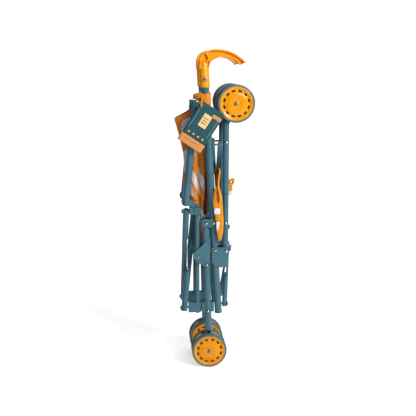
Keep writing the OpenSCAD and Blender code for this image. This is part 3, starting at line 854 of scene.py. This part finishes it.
def make_straps():
    """The lap straps: a bight outside the left tubes that goes in between them at its top."""
    y = BAND_Y
    front = ribbon("strap_front", [v(8.2, y - 0.6, 336), v(6.6, y - 0.6, 344), v(6.3, y - 0.4, 356),
                                   v(8.0, y, 364), v(9.4, y + 1.2, 368), v(11.5, y + 2.0, 366)],
                   [v(1, -0.1, 0.2), v(1, -0.3, 0.1), v(0.9, -0.7, 0), v(0.6, -0.8, -0.4),
                    v(0.4, -0.9, -0.7), v(0.3, -1, -0.6)],
                   [8.5, 6.5, 4.6, 4.2, 3.6, 3.0], 1.4, WEBBING, crown=0.5)
    rear = ribbon("strap_rear", [v(18.4, y - 0.6, 334), v(19.0, y - 0.7, 346), v(17.2, y - 0.6, 358),
                                 v(15.0, y + 0.4, 369), v(14.6, y + 1.4, 379), v(16.2, y + 2.6, 391),
                                 v(17.4, y + 8, 398), v(17.8, y + 15, 404)],
                  [v(1, 0.1, 0), v(1, 0.4, 0.1), v(0.9, 0.7, 0.2), v(0.8, 0.8, 0), v(0.8, 0.7, -0.2),
                   v(0.8, 0.6, -0.1), v(1, 0, 0), v(1, 0, 0)],
                  [9, 6.0, 5.2, 5.4, 4.4, 3.2, 3.0, 2.4], 1.4, WEBBING, crown=0.5)
    inside = ribbon("strap_inside", [v(12, y + 1.6, 338), v(12.2, y + 2.2, 350), v(12.4, y + 2.4, 362),
                                     v(13, y + 2.2, 372)],
                    [v(1, 0, 0)] * 4, [11, 10, 7, 3.0], 1.2, BINDING, crown=0.4)
    # A dark strip of painted shade for the cloth in shadow behind the straps, between the tubes.
    shade_strip = ribbon("strap_painted_shade", [v(17, -26, 333), v(16.4, -27, 350), v(15.0, -27.5, 375),
                                     v(14.0, -27, 396), v(13.8, -26, 405)],
                    [v(1, 0, 0.1)] * 5, [8, 9, 11, 12, 12], 1.4, PAINTED_SHADE_WEAVE, crown=0.8)
    straps = join("lap_straps", [make_band(), front, rear, inside, shade_strip])
    slide = make_slide("strap_slide", v(11.4, BAND_Y - 2.6, 324.0), 11.0, 12.0, filled=True)
    prong = make_prong()
    for piece, slot in ((straps, "strap_webbing"), (slide, "buckle_white"), (prong, "buckle_white")):
        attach(piece, "left_frame")
    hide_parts("harness_straps")


def make_prong():
    """The white tongue of the strap's catch, narrowing downwards."""
    rows, cut = [], []
    for z, front, rear in ((303, 9.9, 16.2), (298, 9.9, 15.8), (291, 10.6, 14.4), (285, 11.4, 13.0)):
        row = [at(front + (rear - front) * k / 6, BAND_Y - 2.7 - 0.5 * math.sin(math.pi * k / 6), z)
               for k in range(7)]
        rows.append(row)
        cut.append([(k, z) for k in range(7)])
    return thicken(grid_piece("strap_prong", rows, cut, BUCKLE), 1.4)


def make_slide(name, centre, width, height, filled=False):
    """A white strap slide: a rounded frame with a bar across its middle, or filled."""
    outer, inner = [], []
    count = 40
    for k in range(count):
        angle = 2 * math.pi * k / count
        c, s = math.cos(angle), math.sin(angle)
        power = 0.35
        cx = math.copysign(abs(c) ** power, c)
        sz = math.copysign(abs(s) ** power, s)
        outer.append(v(cx * width / 2, 0, sz * height / 2))
        inner.append(v(cx * (width / 2 - 2), 0, sz * (height / 2 - 2.2)))
    points = [at(*(centre + p)) for p in outer + inner]
    faces = [(k, (k + 1) % count, count + (k + 1) % count, count + k) for k in range(count)]
    half = height / 2 - 2 if filled else 1.6
    bar = [v(-width / 2 + 1.5, 0, -half), v(width / 2 - 1.5, 0, -half),
           v(width / 2 - 1.5, 0, half), v(-width / 2 + 1.5, 0, half)]
    base = len(points)
    points += [at(*(centre + p)) for p in bar]
    faces.append((base, base + 1, base + 2, base + 3))
    obj = new_piece(name, points, faces, BUCKLE, smooth=True)
    solid = obj.modifiers.new("solid", "SOLIDIFY")
    solid.thickness = 1.6 * MM
    solid.offset = 0
    bevel = obj.modifiers.new("bevel", "BEVEL")
    bevel.width = 0.4 * MM
    bevel.segments = 2
    return bake_modifiers(obj)


def make_storage_strap():
    """The storage strap on the right rear leg: a loop of tape, a doubled end and a white catch."""
    y = LEG_Y
    way = v(0, 1, 0)
    loop = ribbon("storage_loop", [v(36.8, y, 390), v(39.5, y, 383), v(42.4, y, 374), v(44.8, y, 366.4),
                                   v(48.0, y, 369.6), v(53.0, y, 372.4), v(53.6, y, 368.0), v(50.6, y, 361)],
                  [way] * 8, [9, 9, 9, 9, 9, 9, 9, 9], 3.0, WEBBING, 60, crown=0.4)
    strips = []
    for k, x in enumerate((40.0, 43.2, 46.4, 49.6)):
        strips.append(ribbon(f"storage_strip{k}", [v(x + 0.4, y, 364), v(x - 0.2, y, 356), v(x, y, 350)],
                             [way] * 3, [9, 9.6, 9], 2.4, WEBBING, 16, crown=0.3))
    edge = ribbon("storage_edge", [v(44.6, y - 4.8, 364), v(44.8, y - 5.1, 356), v(44.8, y - 4.8, 348.5)],
                  [v(1, 0, 0)] * 3, [11.5, 12.5, 12.5], 1.0, WEBBING, 24, crown=-0.4)
    strap = join("storage_tape", [loop, edge, *strips])
    catch = make_slide("storage_catch", v(44.8, y - 4.2, 344.0), 12.0, 9.0, filled=True)
    for piece, slot in ((strap, "strap_webbing"), (catch, "buckle_white")):
        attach(piece, "right_rear_leg")
    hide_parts("storage_strap")
    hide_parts("harness_buckle")


make_handles()
make_loops()
make_straps()
make_storage_strap()


# ---------- hang tag ----------
TAG_CORNER = (-17.0, 534.0)
TAG_TURN = math.radians(33.5)
TAG_SIZE = (50.0, 83.0)
TAG_Y = -49.8


def on_tag(a, b, proud=0.0):
    """A place on the card: a along its short edge, b down its long edge, in millimetres."""
    curl = 0.9 * ((a / TAG_SIZE[0] - 0.5) ** 2 * 4) * (b / TAG_SIZE[1])
    x = TAG_CORNER[0] + a * math.cos(TAG_TURN) - b * math.sin(TAG_TURN)
    z = TAG_CORNER[1] - a * math.sin(TAG_TURN) - b * math.cos(TAG_TURN)
    return at(x, TAG_Y - proud + curl, z)


def tag_patch(name, left, right, levels, material, thickness, proud, columns=10):
    """A patch of card or ink between two side lines, given as functions of the way down."""
    rows, cut = [], []
    for b in levels:
        a0, a1 = left(b), right(b)
        rows.append([on_tag(a0 + (a1 - a0) * k / columns, b, proud) for k in range(columns + 1)])
        cut.append([(a0 + (a1 - a0) * k / columns, b) for k in range(columns + 1)])
    return thicken(grid_piece(name, rows, cut, material), thickness)


def tag_dot(name, a, b, radius, material, proud=0.75):
    ring = [on_tag(a + radius * math.cos(t), b + radius * math.sin(t), proud)
            for t in (2 * math.pi * k / 24 for k in range(24))]
    return thicken(new_piece(name, ring, [tuple(range(24))], material, smooth=False), 0.12)


def tag_line(name, places, width, material, proud=0.75):
    path, _ = spline([v(a, b, 0) for a, b in places], 30)
    rows, cut = [], []
    for k, p in enumerate(path):
        ahead = (path[min(k + 1, 29)] - path[max(k - 1, 0)]).normalized()
        aside = v(-ahead.y, ahead.x, 0) * (width / 2)
        rows.append([on_tag(p.x - aside.x, p.y - aside.y, proud),
                     on_tag(p.x + aside.x, p.y + aside.y, proud)])
        cut.append([(0, k), (1, k)])
    return thicken(grid_piece(name, rows, cut, material), 0.1)


def make_tag():
    """The swing tag: a dark card with a kraft foot, a cream panel with bars, lines and dots."""
    band = 15.5
    card_levels = steps(0, TAG_SIZE[1] - band, 24)
    card = tag_patch("tag_sheet", lambda b: max(6 - b, 0), lambda b: TAG_SIZE[0], card_levels, CARD, 0.9, 0)
    foot = tag_patch("tag_foot", lambda b: -0.6, lambda b: TAG_SIZE[0] + 0.4,
                     steps(TAG_SIZE[1] - band, TAG_SIZE[1] + 0.5, 10), KRAFT, 1.2, 0.05)
    label = tag_patch("tag_label", lambda b: 31.5, lambda b: 49.6, steps(9.4, 16.6, 6), KRAFT, 0.2, 0.6)

    window = tag_patch("tag_window", lambda b: 17, lambda b: 33, steps(16, 42, 30), CREAM, 0.2, 0.6)
    bars = [tag_line(f"tag_bar{k}", [(20, b), (30, b)], 1.4, DARK_INK, 0.9)
            for k, b in enumerate((24, 29, 34))]
    dots = [tag_dot(f"tag_dot{k}", a, 60, 1.8, GOLD_INK) for k, a in enumerate((10, 20, 30, 40))]
    lines = [tag_line(f"tag_line{k}", [(a, 14), (a, 54)], 0.6, PALE_INK) for k, a in enumerate((5, 45))]
    stitches = [tag_line(f"tag_stitch{k}", [(9 + 5.5 * k, 74), (12.5 + 5.5 * k, 74)], 1.0, CARD, 0.75)
                for k in range(6)]
    tag = join("swing_tag", [card, foot, label, window, *bars, *dots, *lines, *stitches])
    tie = ribbon("tag_tie", [v(-16, -42, 541), v(-16.5, -47, 537), v(-18, -50.9, 531), v(-18.6, -51.2, 526),
                             v(-18.4, -50.4, 522)],
                 [v(1, 0, 0)] * 5, [4, 3.4, 3.2, 3.4, 2.6], 0.8, LOOP_WEAVE, 24)
    for piece in (tag, tie):
        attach(piece, "left_frame")
    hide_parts("hang_tag")


make_tag()


# ---------- stage and light ----------
# The floor shines for the camera only, from this near the stroller to that far from it
FLOOR_GLOW = (0.56, 0.95)
WORLD_LIGHT = 0.25
WORLD_SHEEN = 0.10


def make_stage():
    half = 9.0
    floor = new_piece("floor", [(-half, -half, 0), (half, -half, 0), (half, half, 0), (-half, half, 0)],
                      [(0, 1, 2, 3)], make_floor(), smooth=False)


def make_floor():
    m = Shader("floor_paper", roughness=0.9, specular=0.1)
    tone = m.noise(m.place(), 1.5, 2)
    m.colour(m.mix(tone, (0.80, 0.80, 0.805), (0.84, 0.84, 0.84)))
    m.bsdf.inputs["Emission Color"].default_value = (1, 1, 1, 1)
    seen = m.tree.nodes.new("ShaderNodeLightPath").outputs["Is Camera Ray"]
    reach = m.tree.nodes.new("ShaderNodeVectorMath")
    reach.operation = "LENGTH"
    m.link(m.place(), reach.inputs[0])
    glow = m.span(reach.outputs["Value"], 0.35, 1.6, *FLOOR_GLOW)
    m.link(m.math("MULTIPLY", seen, glow), m.bsdf.inputs["Emission Strength"])
    return m.material


def area_light(name, place, aim, size, power):
    data = bpy.data.lights.new(name, "AREA")
    data.shape = "RECTANGLE"
    data.size, data.size_y = size
    data.energy = power
    light = bpy.data.objects.new(name, data)
    bpy.context.scene.collection.objects.link(light)
    light.location = place
    light.rotation_euler = (Vector(aim) - Vector(place)).to_track_quat("-Z", "Y").to_euler()


def make_world():
    world = bpy.data.worlds.new("studio")
    world.use_nodes = True
    nodes = world.node_tree.nodes
    links = world.node_tree.links
    path = nodes.new("ShaderNodeLightPath")
    shown = nodes["Background"].outputs[0]
    nodes["Background"].inputs["Color"].default_value = (1, 1, 1, 1)
    nodes["Background"].inputs["Strength"].default_value = WORLD_LIGHT
    for ray, strength in (("Is Glossy Ray", WORLD_SHEEN), ("Is Camera Ray", 1.0)):
        other = nodes.new("ShaderNodeBackground")
        other.inputs["Color"].default_value = (1, 1, 1, 1)
        other.inputs["Strength"].default_value = strength
        mix = nodes.new("ShaderNodeMixShader")
        links.new(path.outputs[ray], mix.inputs[0])
        links.new(shown, mix.inputs[1])
        links.new(other.outputs[0], mix.inputs[2])
        shown = mix.outputs[0]
    links.new(shown, nodes["World Output"].inputs["Surface"])
    bpy.context.scene.world = world


make_stage()
make_world()
# Each light as its name, place, aim, size and power
LIGHTS = [("key", (1.15, -1.3, 1.3), (0, 0, 0.42), (0.5, 0.5), 34),
          ("side", (-1.6, -0.7, 1.1), (0, 0, 0.35), (0.4, 1.0), 1.5),
          ("top", (0.5, 0.9, 1.9), (0, 0, 0.3), (1.0, 0.8), 10),
          ("glint", (0.42, -1.25, 0.98), (0.03, 0, 0.5), (0.13, 0.13), 2.0)]
for light in LIGHTS:
    area_light(*light)
bpy.context.scene.view_settings.view_transform = "Standard"
